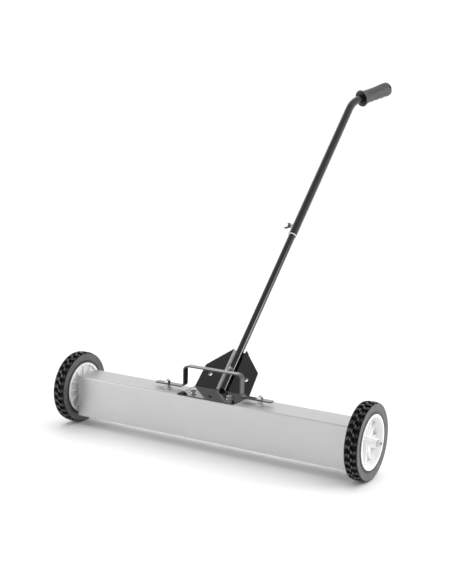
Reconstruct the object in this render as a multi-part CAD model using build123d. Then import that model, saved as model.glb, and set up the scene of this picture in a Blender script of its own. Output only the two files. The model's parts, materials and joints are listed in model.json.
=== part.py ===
from build123d import *
import os
from math import cos, radians, sin, sqrt, tan

os.makedirs("parts", exist_ok=True)

# Walk-behind magnetic sweeper: box housing on two wheels, magnets that a sprung bail lifts,
# and a telescoping pole.  Millimetres.  The origin is the centre of the sweeping face on the
# underside, +X runs along the axle to the right-hand wheel, +Y points back towards the user's
# handle and +Z is up.  The floor is FLOOR_Z below the origin.

# Housing
HOUSING_LENGTH = 762.0
HOUSING_DEPTH = 80.0
HOUSING_HEIGHT = 104.0
SHEET = 1.5
SHELL_BEND = 3.0
SWEEP_SHEET = 1.0
SWEEP_FLANGE = 12.0
CAP_SHEET = 2.0
CAP_FLANGE = 12.0

# Wheels
FLOOR_Z = -28.0
TYRE_RADIUS = 92.0
TYRE_WIDTH = 32.5
TYRE_SHOULDER = 4.5
TYRE_CROWN = 1.0
BEAD_RISE = 3.5
BEAD_SETBACK = 1.2
GROOVE_HALF = 1.5
GROOVE_DEPTH = 2.5
HUB_RADIUS = 64.5
HUB_SEAT_RADIUS = 62.5
HUB_BARREL_RADIUS = 59.5
HUB_LIP = 2.0
HUB_WEB = 3.0
HUB_WEB_RIM_Z = -6.5
HUB_WEB_BOSS_Z = -4.5
HUB_BOSS_RADIUS = 13.0
HUB_BOSS_END_RADIUS = 10.8
HUB_RIBS = 12
HUB_RIB_THICKNESS = 2.2
HUB_RIB_INSET = 3.0
HUB_RIB_RISE = 5.5
WHEEL_INNER_X = 390.5
AXLE_Z = FLOOR_Z + TYRE_RADIUS
AXLE_RADIUS = 4.0
AXLE_RUNNING_GAP = 0.06
AXLE_FLATS = 13.0
AXLE_HEAD = 5.5
AXLE_PLATE = 4.0
AXLE_PLATE_SIZE = 60.0
AXLE_PLATE_CORNER = 4.0
JAM_NUT = 6.0
AXLE_WASHER_RADIUS = 8.5
AXLE_WASHER = 1.5
HUB_BOSS_INNER_X = 389.0
HUB_BOSS_OUTER_X = 433.5
HUB_END_PLAY = 0.4
LOCK_NUT = 8.0
LOCK_COLLAR = 2.4
LOCK_COLLAR_RADIUS = 5.7
AXLE_END_X = 446.0

# Magnet lift
STUD_X = 131.5
STUD_RADIUS = 4.0
STUD_TOP_Z = 126.5
GUIDE_RADIUS = 7.0
GUIDE_FLANGE_RADIUS = 11.0
GUIDE_FLANGE = 2.0
GUIDE_DROP = 6.0
GUIDE_GAP = 0.10
REST_GAP = 0.1
MAGNET_COUNT = 7
MAGNET_LENGTH = 98.0
MAGNET_PITCH = 102.0
MAGNET_WIDTH = 50.0
MAGNET_HEIGHT = 20.0
MAGNET_Z = 2.5
CARRIAGE_LENGTH = 712.0
CARRIAGE_WIDTH = 60.0
CARRIAGE_FLANGE = 14.0
CARRIAGE_SHEET = 3.0
SPRING_RADIUS = 9.0
SPRING_WIRE = 0.9
SPRING_TURNS = 9
BAIL_WIDTH = 18.0
BAIL_SHEET = 3.0
BAIL_Z = 114.0
BAIL_TOP_Z = 170.5
BAIL_FOOT_X = 164.5
BAIL_LEG_X = 80.0
BAIL_BEND = 10.0
BAIL_CORNER = 4.0
M8_FLATS = 13.0
M8_NUT = 6.5
BOLT_CHAMFER = 0.8

# Pole bracket: the upright plate leans back with the pole
LEAN = 44.5
BRACKET_LENGTH = 160.0
BRACKET_SHEET = 2.5
BRACKET_CORNER = 4.0
FOLD_Y = 40.5
FOLD_Z = HOUSING_HEIGHT + BRACKET_SHEET
FOLD_BEND = 4.0
PLATE_HALF_FOLD = 78.0
PLATE_HALF_WAIST = 75.0
PLATE_WAIST_S = 67.0
PLATE_HALF_TOP = 17.0
PLATE_TOP_S = 125.5
PLATE_CORNER = 6.0
TIE_HOLE_X = 51.5
TIE_HOLE_S = 42.5
TIE_HOLE_RADIUS = 5.5
TIE_SLEEVE_RADIUS = 8.5
TIE_SLEEVE = 6.0
CHANNEL_HALF = 17.5
CHANNEL_SHEET = 2.5
CHANNEL_BOTTOM_S = 3.0
CHANNEL_TOP_S = 124.0
SPACER_LENGTH = 12.0
SPACER_GAP_HALF = 3.0
SPACER_HEIGHT = 5.0
SPACER_S = (14.0, 106.0)
BRACKET_BOLT_X = 50.5
BRACKET_BOLT_Y = -8.0
BRACKET_BOLT_RADIUS = 4.0
BRACKET_BOLT_END = 2.0
BRACKET_HEAD = 5.5
BRACKET_WASHER_RADIUS = 8.5
BRACKET_WASHER = 1.6

# Pole: s is the distance up the pole axis from its point abreast of the bracket's fold,
# h is the distance in front of the axis along the plate's normal
POLE_DEPTH = 3.0
LOWER_RADIUS = 9.525
LOWER_WALL = 1.5
LOWER_START_S = 4.0
LOWER_END_S = 630.0
UPPER_RADIUS = 11.1
UPPER_WALL = 1.0
UPPER_START_S = 500.0
BEND_START_S = 972.0
BEND_RADIUS = 85.0
BEND_ANGLE = 35.0
GRIP_TURN = 40.0
GRIP_GAP = 8.0
GRIP_LENGTH = 113.0
TUBE_IN_GRIP = 95.0
PLUG_RIM = 3.0
PLUG_LENGTH = 12.0
BUSH_LENGTH = 22.0
BUSH_FLANGE = 2.0
BUSH_FLANGE_RADIUS = 11.7
BUSH_INNER_GAP = 0.075
BUSH_OUTER_GAP = 0.10
POLE_BOLT_S = 59.0
POLE_BOLT_RADIUS = 4.0
POLE_BOLT_END_H = 21.0
POLE_WASHER_RADIUS = 8.5
POLE_WASHER = 1.6
POLE_NUT = 6.8
POLE_HEAD = 5.5
SCREW_S = 530.0
SCREW_RADIUS = 3.0
SCREW_GAP = 0.08
SCREW_TIP_H = 9.85
SCREW_HEAD_H = 17.5
SCREW_HEAD_RADIUS = 5.5
SCREW_HEAD_LENGTH = 7.0
WING_SPAN = 25.0
WING_TIP_H = 31.0
WING_THICKNESS = 2.6
WING_TILT = 18.0
WING_CORNER = 1.4
BOSS_RADIUS = 5.5
BOSS_TOP_H = 14.5
RIVET_S = 507.0
RIVET_RADIUS = 1.6
RIVET_HEAD_RADIUS = 3.2
RIVET_HEAD = 2.2
RIVET_DOME = 1.54

# Grip
GRIP_RADIUS = 19.2
GRIP_END_RADIUS = 19.5
GRIP_HEEL = 2.6
GRIP_FLANGE_RADIUS = 24.3
GRIP_FLANGE_DEPTH = 9.0
GRIP_FUNNEL = 9.5
GRIP_BORE = UPPER_RADIUS
FINGER_COUNT = 4
FINGER_PITCH = 20.0
FINGER_FIRST = 27.0
FINGER_RADIUS = 13.0
FINGER_DEPTH = 3.5
HANG_SLOT_LENGTH = 11.0
HANG_SLOT_WIDTH = 5.0
HANG_SLOT_INSET = 8.5

CLEAR = 0.2
# Reach of a cutter beyond the face it cuts through
OVERCUT = 1.0
LONG_CUT = 20.0
UP = Vector(0, cos(radians(LEAN)), sin(radians(LEAN)))
FRONT = Vector(0, -sin(radians(LEAN)), cos(radians(LEAN)))
FOLD = Vector(0, FOLD_Y, FOLD_Z)
AXIS_FOOT = FOLD - FRONT * POLE_DEPTH


def write(shape, node):
    export_step(shape, f"parts/{node}.step")


def plate_plane():
    """Local x along the axle, local y up the bracket's plate, local z out of its front."""
    return Plane(origin=FOLD, x_dir=(1, 0, 0), z_dir=FRONT)


def pole_point(s, h=0.0):
    return AXIS_FOOT + UP * s + FRONT * h


def along_pole(s):
    return Plane(origin=pole_point(s), x_dir=(1, 0, 0), z_dir=UP)


def along_normal(s, h):
    return Plane(origin=pole_point(s, h), x_dir=(1, 0, 0), z_dir=FRONT)


def along_screw(h):
    """Sideways off the pole at the clamp screw, local z away from the pole axis to the left."""
    return Plane(origin=pole_point(SCREW_S) + Vector(-h, 0, 0), x_dir=UP, z_dir=(-1, 0, 0))


def rod(radius, length):
    return Cylinder(radius, length, align=(Align.CENTER, Align.CENTER, Align.MIN))


def ring(outer, inner, length):
    return rod(outer, length) - rod(inner, length)


def hexagon(flats, length):
    return extrude(RegularPolygon(flats / 2, 6, major_radius=False), length)


def nut(flats, bore, length):
    """Hexagon nut with both end faces chamfered by a turned cone."""
    corner = flats / sqrt(3)
    turned = revolve(
        make_face(
            Polyline(
                (0, 0), (flats / 2, 0), (corner, (corner - flats / 2) * 0.6),
                (corner, length - (corner - flats / 2) * 0.6), (flats / 2, length), (0, length),
                close=True,
            )
            .rotate(Axis.X, 90)
        ),
        Axis.Z,
    )
    return (hexagon(flats, length) & turned) - rod(bore, length)


def along_x(x, z=AXLE_Z):
    """Plane on the axle line whose local z points outwards on the side that x is on."""
    side = 1 if x > 0 else -1
    return Plane(origin=(x, 0, z), x_dir=(0, 1, 0), z_dir=(side, 0, 0))


def housing_shell():
    outer = Rectangle(HOUSING_DEPTH, HOUSING_HEIGHT, align=(Align.CENTER, Align.MIN))
    outer = fillet(outer.vertices().sort_by(Axis.Y)[-2:], SHELL_BEND)
    inner = Rectangle(
        HOUSING_DEPTH - 2 * SHEET, HOUSING_HEIGHT - SHEET, align=(Align.CENTER, Align.MIN)
    )
    inner = fillet(inner.vertices().sort_by(Axis.Y)[-2:], SHELL_BEND - SHEET)
    section = Plane(origin=(-HOUSING_LENGTH / 2, 0, 0), x_dir=(0, 1, 0), z_dir=(1, 0, 0))
    shell = extrude(section * (outer - inner), HOUSING_LENGTH)
    for side in (-1, 1):
        shell -= Pos(side * STUD_X, 0, HOUSING_HEIGHT - 2 * SHEET) * rod(GUIDE_RADIUS, 4 * SHEET)
        shell -= Pos(side * BRACKET_BOLT_X, BRACKET_BOLT_Y, HOUSING_HEIGHT - 2 * SHEET) * rod(
            BRACKET_BOLT_RADIUS + CLEAR, 4 * SHEET
        )
    return shell


def sweep_plate():
    """Thin tray under the magnets; its front and back flanges stand against the shell."""
    width = HOUSING_DEPTH - 2 * SHEET
    length = HOUSING_LENGTH - 2 * CAP_SHEET
    tray = Box(length, width, SWEEP_FLANGE, align=(Align.CENTER, Align.CENTER, Align.MIN))
    tray -= Pos(0, 0, SWEEP_SHEET) * Box(
        length, width - 2 * SWEEP_SHEET, SWEEP_FLANGE, align=(Align.CENTER, Align.CENTER, Align.MIN)
    )
    return tray


def end_cap(side):
    """Pan-shaped cap: face plate flush with the shell's end and a flange folded inwards."""
    width = HOUSING_DEPTH - 2 * SHEET
    top = HOUSING_HEIGHT - SHEET
    face = Rectangle(width, top, align=(Align.CENTER, Align.MIN))
    face = fillet(face.vertices().sort_by(Axis.Y)[-2:], SHELL_BEND - SHEET)
    plane = Plane(
        origin=(side * HOUSING_LENGTH / 2, 0, 0), x_dir=(0, side, 0), z_dir=(side, 0, 0)
    )
    cap = extrude(plane * face, -CAP_SHEET)
    upper = Rectangle(width, top - SWEEP_FLANGE, align=(Align.CENTER, Align.MIN))
    upper = fillet(upper.vertices().sort_by(Axis.Y)[-2:], SHELL_BEND - SHEET)
    hollow = Rectangle(
        width - 2 * CAP_SHEET, top - SWEEP_FLANGE - CAP_SHEET, align=(Align.CENTER, Align.MIN)
    )
    flange = extrude(plane * (Pos(0, SWEEP_FLANGE) * (upper - hollow)), -CAP_FLANGE)
    bolt_hole = along_x(side * axle_head_x()) * rod(AXLE_RADIUS + CLEAR, AXLE_PLATE_SIZE)
    return cap + flange - bolt_hole


def axle_plate(side):
    """Thick square plate behind the end cap that carries the axle bolt."""
    inner_x = HOUSING_LENGTH / 2 - CAP_SHEET - AXLE_PLATE
    plate = extrude(
        along_x(side * inner_x) * RectangleRounded(
            AXLE_PLATE_SIZE, AXLE_PLATE_SIZE, AXLE_PLATE_CORNER
        ),
        AXLE_PLATE,
    )
    return plate - along_x(side * inner_x) * rod(AXLE_RADIUS + CLEAR, AXLE_PLATE)


def axle_head_x():
    return HOUSING_LENGTH / 2 - CAP_SHEET - AXLE_PLATE - AXLE_HEAD


def axle(side):
    """Bolt from inside the housing that the wheel turns on."""
    head_x = axle_head_x()
    head = along_x(side * head_x) * hexagon(AXLE_FLATS, AXLE_HEAD)
    shank = rod(AXLE_RADIUS, AXLE_END_X - head_x)
    shank = chamfer(shank.edges().sort_by(Axis.Z)[-1], BOLT_CHAMFER)
    return head + along_x(side * head_x) * shank


def axle_jam_nuts():
    x = HOUSING_LENGTH / 2
    return [along_x(side * x) * nut(AXLE_FLATS, AXLE_RADIUS, JAM_NUT) for side in (-1, 1)]


def axle_inner_washers():
    x = HOUSING_LENGTH / 2 + JAM_NUT
    return [
        along_x(side * x) * ring(AXLE_WASHER_RADIUS, AXLE_RADIUS, AXLE_WASHER) for side in (-1, 1)
    ]


def axle_outer_washers():
    x = HUB_BOSS_OUTER_X + HUB_END_PLAY
    return [
        along_x(side * x) * ring(AXLE_WASHER_RADIUS, AXLE_RADIUS, AXLE_WASHER) for side in (-1, 1)
    ]


def axle_lock_nuts():
    """Nuts with a round nylon collar on the outside."""
    x = HUB_BOSS_OUTER_X + HUB_END_PLAY + AXLE_WASHER
    body = nut(AXLE_FLATS, AXLE_RADIUS, LOCK_NUT - LOCK_COLLAR)
    body += Pos(0, 0, LOCK_NUT - LOCK_COLLAR) * ring(LOCK_COLLAR_RADIUS, AXLE_RADIUS, LOCK_COLLAR)
    return [along_x(side * x) * body for side in (-1, 1)]


def wheel_hub(side):
    """Moulded disc wheel: lipped barrel, web nearer the inner side, ribs and a long boss."""
    half = TYRE_WIDTH / 2
    mid = WHEEL_INNER_X + half
    inner = HUB_BOSS_INNER_X - mid
    outer = HUB_BOSS_OUTER_X - mid
    profile = Polyline(
        (0, inner), (HUB_BOSS_RADIUS, inner), (HUB_BOSS_RADIUS, HUB_WEB_BOSS_Z - HUB_WEB),
        (HUB_BARREL_RADIUS, HUB_WEB_RIM_Z - HUB_WEB), (HUB_BARREL_RADIUS, -half),
        (HUB_RADIUS, -half), (HUB_RADIUS, -half + HUB_LIP), (HUB_SEAT_RADIUS, -half + HUB_LIP),
        (HUB_SEAT_RADIUS, half - HUB_LIP), (HUB_RADIUS, half - HUB_LIP), (HUB_RADIUS, half),
        (HUB_BARREL_RADIUS, half), (HUB_BARREL_RADIUS, HUB_WEB_RIM_Z),
        (HUB_BOSS_RADIUS, HUB_WEB_BOSS_Z), (HUB_BOSS_END_RADIUS, outer), (0, outer), close=True,
    )
    body = revolve(make_face(profile.rotate(Axis.X, 90)), Axis.Z)
    low = -half + HUB_RIB_INSET
    high = HUB_WEB_BOSS_Z + HUB_RIB_RISE
    reach = HUB_BARREL_RADIUS - HUB_BOSS_END_RADIUS
    rib = Pos(HUB_BOSS_END_RADIUS, 0, low) * Box(
        reach, HUB_RIB_THICKNESS, high - low, align=(Align.MIN, Align.CENTER, Align.MIN)
    )
    for index in range(HUB_RIBS):
        body += Rot(0, 0, index * 360 / HUB_RIBS) * rib
    body -= Pos(0, 0, inner) * rod(AXLE_RADIUS + AXLE_RUNNING_GAP, outer - inner)
    return along_x(side * mid) * body


def tyre(side):
    """Rubber tyre: flat walls, firm shoulders and a shallow groove round the tread."""
    half = TYRE_WIDTH / 2
    edge = [
        (HUB_SEAT_RADIUS, -half + HUB_LIP), (HUB_RADIUS + CLEAR, -half + HUB_LIP),
        (HUB_RADIUS + BEAD_RISE, -half + BEAD_SETBACK), (TYRE_RADIUS - TYRE_SHOULDER, -half),
        (TYRE_RADIUS - TYRE_SHOULDER * 0.35, -half + TYRE_SHOULDER * 0.35),
        (TYRE_RADIUS - TYRE_CROWN, -half + TYRE_SHOULDER), (TYRE_RADIUS, -GROOVE_HALF),
        (TYRE_RADIUS - GROOVE_DEPTH, -GROOVE_HALF),
    ]
    mirrored = [(r, -z) for r, z in reversed(edge)]
    profile = Polyline(*edge, *mirrored, close=True)
    body = revolve(make_face(profile.rotate(Axis.X, 90)), Axis.Z)
    return along_x(side * (WHEEL_INNER_X + half)) * body


def magnet_carriage():
    base_z = MAGNET_Z + MAGNET_HEIGHT
    tray = Pos(0, 0, base_z) * Box(
        CARRIAGE_LENGTH, CARRIAGE_WIDTH, CARRIAGE_FLANGE,
        align=(Align.CENTER, Align.CENTER, Align.MIN),
    )
    tray -= Pos(0, 0, base_z + CARRIAGE_SHEET) * Box(
        CARRIAGE_LENGTH, CARRIAGE_WIDTH - 2 * CARRIAGE_SHEET, CARRIAGE_FLANGE,
        align=(Align.CENTER, Align.CENTER, Align.MIN),
    )
    for side in (-1, 1):
        tray -= Pos(side * STUD_X, 0, base_z) * rod(STUD_RADIUS, CARRIAGE_SHEET)
    return tray


def magnet_blocks():
    first = -MAGNET_PITCH * (MAGNET_COUNT - 1) / 2
    block = Box(
        MAGNET_LENGTH, MAGNET_WIDTH, MAGNET_HEIGHT, align=(Align.CENTER, Align.CENTER, Align.MIN)
    )
    return [Pos(first + MAGNET_PITCH * index, 0, MAGNET_Z) * block for index in range(MAGNET_COUNT)]


def lift_studs():
    base_z = MAGNET_Z + MAGNET_HEIGHT
    stud = rod(STUD_RADIUS, STUD_TOP_Z - base_z)
    stud = chamfer(stud.edges().sort_by(Axis.Z)[-1], BOLT_CHAMFER)
    return [Pos(side * STUD_X, 0, base_z) * stud for side in (-1, 1)]


def bail_lower_nuts():
    """Nuts under the bail's feet that set its height on the studs."""
    z = HOUSING_HEIGHT + GUIDE_FLANGE + REST_GAP
    body = nut(M8_FLATS, STUD_RADIUS, BAIL_Z - z)
    return [Pos(side * STUD_X, 0, z) * body for side in (-1, 1)]


def bail_upper_nuts():
    body = nut(M8_FLATS, STUD_RADIUS, M8_NUT)
    return [Pos(side * STUD_X, 0, BAIL_Z + BAIL_SHEET) * body for side in (-1, 1)]


def guide_bushes():
    """Nylon bushes in the housing top that guide the lift studs."""
    bush = Pos(0, 0, HOUSING_HEIGHT) * rod(GUIDE_FLANGE_RADIUS, GUIDE_FLANGE)
    bush += Pos(0, 0, HOUSING_HEIGHT - GUIDE_DROP) * rod(GUIDE_RADIUS, GUIDE_DROP)
    bush -= Pos(0, 0, HOUSING_HEIGHT - GUIDE_DROP) * rod(
        STUD_RADIUS + GUIDE_GAP, GUIDE_DROP + GUIDE_FLANGE
    )
    return [Pos(side * STUD_X, 0, 0) * bush for side in (-1, 1)]


def lift_springs():
    """Compression springs between the carriage and the underside of the housing top."""
    low = MAGNET_Z + MAGNET_HEIGHT + CARRIAGE_SHEET + SPRING_WIRE + CLEAR
    high = HOUSING_HEIGHT - SHEET - SPRING_WIRE - CLEAR
    path = Helix((high - low) / SPRING_TURNS, high - low, SPRING_RADIUS)
    wire = Plane(origin=path @ 0, z_dir=path % 0) * Circle(SPRING_WIRE)
    coil = sweep(wire, path=path)
    return [Pos(side * STUD_X, 0, low) * coil for side in (-1, 1)]


def release_bail():
    """Flat bar bent into a hat: two feet on the studs, two legs and a lifting bar."""
    low = BAIL_Z + BAIL_SHEET / 2
    high = BAIL_TOP_Z - BAIL_SHEET / 2
    path = FilletPolyline(
        (-BAIL_FOOT_X, 0, low), (-BAIL_LEG_X, 0, low), (-BAIL_LEG_X, 0, high),
        (BAIL_LEG_X, 0, high), (BAIL_LEG_X, 0, low), (BAIL_FOOT_X, 0, low),
        radius=BAIL_BEND,
    )
    section = Plane(origin=path @ 0, x_dir=(0, 1, 0), z_dir=(1, 0, 0)) * Rectangle(
        BAIL_WIDTH, BAIL_SHEET
    )
    bar = sweep(section, path=path)
    ends = [
        edge for edge in bar.edges().filter_by(Axis.Z)
        if abs(edge.center().X) > BAIL_FOOT_X - OVERCUT
    ]
    bar = fillet(ends, BAIL_CORNER)
    for side in (-1, 1):
        bar -= Pos(side * STUD_X, 0, BAIL_Z - OVERCUT) * rod(
            STUD_RADIUS, BAIL_SHEET + 2 * OVERCUT
        )
    return bar


def handle_bracket():
    """One folded sheet: base over the housing top and a leaning six-sided plate, slotted."""
    offset = BRACKET_SHEET / 2
    mid_z = FOLD_Z - offset
    corner_y = FOLD_Y + offset * tan(radians(LEAN / 2))
    rise = PLATE_TOP_S + OVERCUT
    path = FilletPolyline(
        (0, -HOUSING_DEPTH / 2, mid_z), (0, corner_y, mid_z),
        (0, corner_y + rise * cos(radians(LEAN)), mid_z + rise * sin(radians(LEAN))),
        radius=FOLD_BEND,
    )
    section = Plane(origin=path @ 0, x_dir=(1, 0, 0), z_dir=(0, 1, 0)) * Rectangle(
        BRACKET_LENGTH, BRACKET_SHEET
    )
    sheet = sweep(section, path=path)
    base = Pos(0, -HOUSING_DEPTH / 2, HOUSING_HEIGHT - OVERCUT) * Box(
        BRACKET_LENGTH, HOUSING_DEPTH + OVERCUT, BRACKET_SHEET + 2 * OVERCUT,
        align=(Align.CENTER, Align.MIN, Align.MIN),
    )
    base = fillet(
        [edge for edge in base.edges().filter_by(Axis.Z) if edge.center().Y < 0], BRACKET_CORNER
    )
    outline = Polyline(
        (-PLATE_HALF_FOLD, -FOLD_BEND), (-PLATE_HALF_WAIST, PLATE_WAIST_S),
        (-PLATE_HALF_TOP, PLATE_TOP_S), (PLATE_HALF_TOP, PLATE_TOP_S),
        (PLATE_HALF_WAIST, PLATE_WAIST_S), (PLATE_HALF_FOLD, -FOLD_BEND), close=True,
    )
    face = make_face(outline)
    face = fillet(face.vertices().filter_by(lambda v: v.Y > 0), PLATE_CORNER)
    slot = Pos(0, CHANNEL_BOTTOM_S) * Rectangle(
        2 * CHANNEL_HALF, PLATE_TOP_S, align=(Align.CENTER, Align.MIN)
    )
    holes = Pos(-TIE_HOLE_X, TIE_HOLE_S) * Circle(TIE_HOLE_RADIUS)
    holes += Pos(TIE_HOLE_X, TIE_HOLE_S) * Circle(TIE_HOLE_RADIUS)
    upright = extrude(plate_plane() * (face - slot - holes), 2 * BRACKET_SHEET, both=True)
    bracket = sheet & (base + upright)
    for side in (-1, 1):
        bracket -= Pos(side * BRACKET_BOLT_X, BRACKET_BOLT_Y, HOUSING_HEIGHT - OVERCUT) * rod(
            BRACKET_BOLT_RADIUS + CLEAR, BRACKET_SHEET + 2 * OVERCUT
        )
    return bracket


def tie_sleeves():
    """Short sleeves welded behind the plate that lengthen its two tie holes."""
    sleeve = ring(TIE_SLEEVE_RADIUS, TIE_HOLE_RADIUS, TIE_SLEEVE)
    depth = BRACKET_SHEET + TIE_SLEEVE
    return [
        plate_plane() * Pos(side * TIE_HOLE_X, TIE_HOLE_S, -depth) * sleeve for side in (-1, 1)
    ]


def pole_channel():
    """U-section welded behind the plate's slot; the pole lies on its floor."""
    floor_depth = POLE_DEPTH + LOWER_RADIUS
    outer = CHANNEL_HALF + CHANNEL_SHEET
    walls = Polyline(
        (-outer, -BRACKET_SHEET), (-CHANNEL_HALF, -BRACKET_SHEET), (-CHANNEL_HALF, -floor_depth),
        (CHANNEL_HALF, -floor_depth), (CHANNEL_HALF, -BRACKET_SHEET), (outer, -BRACKET_SHEET),
        (outer, -floor_depth - CHANNEL_SHEET), (-outer, -floor_depth - CHANNEL_SHEET), close=True,
    )
    start = FOLD + UP * CHANNEL_BOTTOM_S
    section = Plane(origin=start, x_dir=(-1, 0, 0), z_dir=UP) * make_face(walls)
    channel = extrude(section, CHANNEL_TOP_S - CHANNEL_BOTTOM_S)
    return channel - along_normal(POLE_BOLT_S, -2 * LONG_CUT) * rod(
        POLE_BOLT_RADIUS + CLEAR, 2 * LONG_CUT
    )


def pole_spacers():
    """Blocks in the channel's corners that cradle the pole and centre it."""
    width = CHANNEL_HALF - SPACER_GAP_HALF
    spacers = []
    for s in SPACER_S:
        for side in (-1, 1):
            block = Pos(side * (SPACER_GAP_HALF + width / 2), LOWER_RADIUS, 0) * Box(
                width, SPACER_HEIGHT, SPACER_LENGTH, align=(Align.CENTER, Align.MAX, Align.MIN)
            )
            spacers.append(along_pole(s) * (block - rod(LOWER_RADIUS, SPACER_LENGTH)))
    return spacers


def bracket_bolts():
    """Hexagon bolts from inside the housing up through the bracket base."""
    low = HOUSING_HEIGHT - SHEET - BRACKET_HEAD
    top = FOLD_Z + BRACKET_WASHER + M8_NUT + BRACKET_BOLT_END
    bolt = Pos(0, 0, low) * hexagon(M8_FLATS, BRACKET_HEAD)
    shank = Pos(0, 0, low) * rod(BRACKET_BOLT_RADIUS, top - low)
    bolt += chamfer(shank.edges().sort_by(Axis.Z)[-1], BOLT_CHAMFER)
    return [Pos(side * BRACKET_BOLT_X, BRACKET_BOLT_Y, 0) * bolt for side in (-1, 1)]


def bracket_washers():
    washer = ring(BRACKET_WASHER_RADIUS, BRACKET_BOLT_RADIUS, BRACKET_WASHER)
    return [Pos(side * BRACKET_BOLT_X, BRACKET_BOLT_Y, FOLD_Z) * washer for side in (-1, 1)]


def bracket_nuts():
    body = nut(M8_FLATS, BRACKET_BOLT_RADIUS, M8_NUT)
    z = FOLD_Z + BRACKET_WASHER
    return [Pos(side * BRACKET_BOLT_X, BRACKET_BOLT_Y, z) * body for side in (-1, 1)]


def pole_bolt():
    head_h = -LOWER_RADIUS - CHANNEL_SHEET - POLE_HEAD
    bolt = along_normal(POLE_BOLT_S, head_h) * hexagon(M8_FLATS, POLE_HEAD)
    return bolt + along_normal(POLE_BOLT_S, head_h) * rod(
        POLE_BOLT_RADIUS, POLE_BOLT_END_H - head_h
    )


def pole_washer():
    return along_normal(POLE_BOLT_S, LOWER_RADIUS) * ring(
        POLE_WASHER_RADIUS, POLE_BOLT_RADIUS, POLE_WASHER
    )


def pole_nut():
    return along_normal(POLE_BOLT_S, LOWER_RADIUS + POLE_WASHER) * nut(
        M8_FLATS, POLE_BOLT_RADIUS, POLE_NUT
    )


def lower_tube():
    tube = along_pole(LOWER_START_S) * ring(
        LOWER_RADIUS, LOWER_RADIUS - LOWER_WALL, LOWER_END_S - LOWER_START_S
    )
    return tube - along_normal(POLE_BOLT_S, -LONG_CUT) * rod(POLE_BOLT_RADIUS, 2 * LONG_CUT)


def lower_tube_plug():
    rim = along_pole(LOWER_END_S) * rod(LOWER_RADIUS, PLUG_RIM)
    shank = along_pole(LOWER_END_S - PLUG_LENGTH) * rod(LOWER_RADIUS - LOWER_WALL, PLUG_LENGTH)
    return rim + shank


def slide_bush():
    """Thin nylon liner between the two tubes with a flange at the upper tube's end."""
    inner = LOWER_RADIUS + BUSH_INNER_GAP
    liner = along_pole(UPPER_START_S) * ring(
        UPPER_RADIUS - UPPER_WALL - BUSH_OUTER_GAP, inner, BUSH_LENGTH
    )
    flange_s = UPPER_START_S - BUSH_FLANGE - CLEAR
    flange = along_pole(flange_s) * ring(BUSH_FLANGE_RADIUS, inner, BUSH_FLANGE)
    neck = along_pole(flange_s) * ring(
        UPPER_RADIUS - UPPER_WALL - BUSH_OUTER_GAP, inner, BUSH_FLANGE + 2 * CLEAR
    )
    return liner + flange + neck


def bend_side():
    """Direction that the tube bends towards, square to the pole."""
    turn = radians(GRIP_TURN)
    return FRONT * -cos(turn) + Vector(sin(turn), 0, 0)


def grip_axis():
    """Direction of the tube beyond the bend."""
    bend = radians(BEND_ANGLE)
    return UP * cos(bend) + bend_side() * sin(bend)


def grip_inner():
    """Direction from the grip's axis to the inside of the bend, where the fingers go."""
    bend = radians(BEND_ANGLE)
    return UP * -sin(bend) + bend_side() * cos(bend)


def bend_corner():
    return pole_point(BEND_START_S + BEND_RADIUS * tan(radians(BEND_ANGLE / 2)))


def grip_start():
    tangent = BEND_RADIUS * tan(radians(BEND_ANGLE / 2))
    return bend_corner() + grip_axis() * (tangent + GRIP_GAP)


def upper_tube():
    end = grip_start() + grip_axis() * TUBE_IN_GRIP
    path = FilletPolyline(
        pole_point(UPPER_START_S), bend_corner(), end, radius=BEND_RADIUS
    )
    start = Plane(origin=path @ 0, x_dir=(1, 0, 0), z_dir=UP)
    outer = sweep(start * Circle(UPPER_RADIUS), path=path)
    bore = sweep(start * Circle(UPPER_RADIUS - UPPER_WALL), path=path)
    tube = outer - bore
    tube -= along_screw(UPPER_RADIUS - 2 * UPPER_WALL) * rod(
        SCREW_RADIUS + SCREW_GAP, 3 * UPPER_WALL
    )
    rivet = Plane(origin=pole_point(RIVET_S), x_dir=UP, z_dir=(-1, 0, 0))
    return tube - rivet * rod(RIVET_RADIUS, 2 * UPPER_RADIUS)


def screw_boss():
    """Threaded boss welded on the upper tube for the clamp screw."""
    boss = along_screw(0) * rod(BOSS_RADIUS, BOSS_TOP_H)
    boss -= along_pole(SCREW_S - 2 * BOSS_RADIUS) * rod(UPPER_RADIUS, 4 * BOSS_RADIUS)
    return boss - along_screw(0) * rod(SCREW_RADIUS + SCREW_GAP, BOSS_TOP_H)


def wing_screw():
    """Clamp screw: shank, turned head and two flared wings."""
    screw = along_screw(SCREW_TIP_H) * rod(
        SCREW_RADIUS, SCREW_HEAD_H - SCREW_TIP_H + OVERCUT
    )
    head = along_screw(SCREW_HEAD_H) * Cone(
        SCREW_HEAD_RADIUS, SCREW_HEAD_RADIUS * 0.7, SCREW_HEAD_LENGTH,
        align=(Align.CENTER, Align.CENTER, Align.MIN),
    )
    half = WING_SPAN / 2
    low = SCREW_HEAD_LENGTH * 0.15
    tall = WING_TIP_H - SCREW_HEAD_H
    wing = Polyline(
        (0, low), (half * 0.45, low), (half, tall * 0.45), (half, tall), (half * 0.75, tall),
        (half * 0.35, SCREW_HEAD_LENGTH), (0, SCREW_HEAD_LENGTH * 0.9), close=True,
    )
    blade = make_face(wing)
    blade = fillet(blade.vertices().filter_by(lambda v: v.X > half * 0.7), WING_CORNER)
    blades = extrude(blade.rotate(Axis.X, 90), WING_THICKNESS / 2, both=True)
    blades += blades.rotate(Axis.Z, 180)
    return screw + head + along_screw(SCREW_HEAD_H) * Rot(0, 0, WING_TILT) * blades


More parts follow.
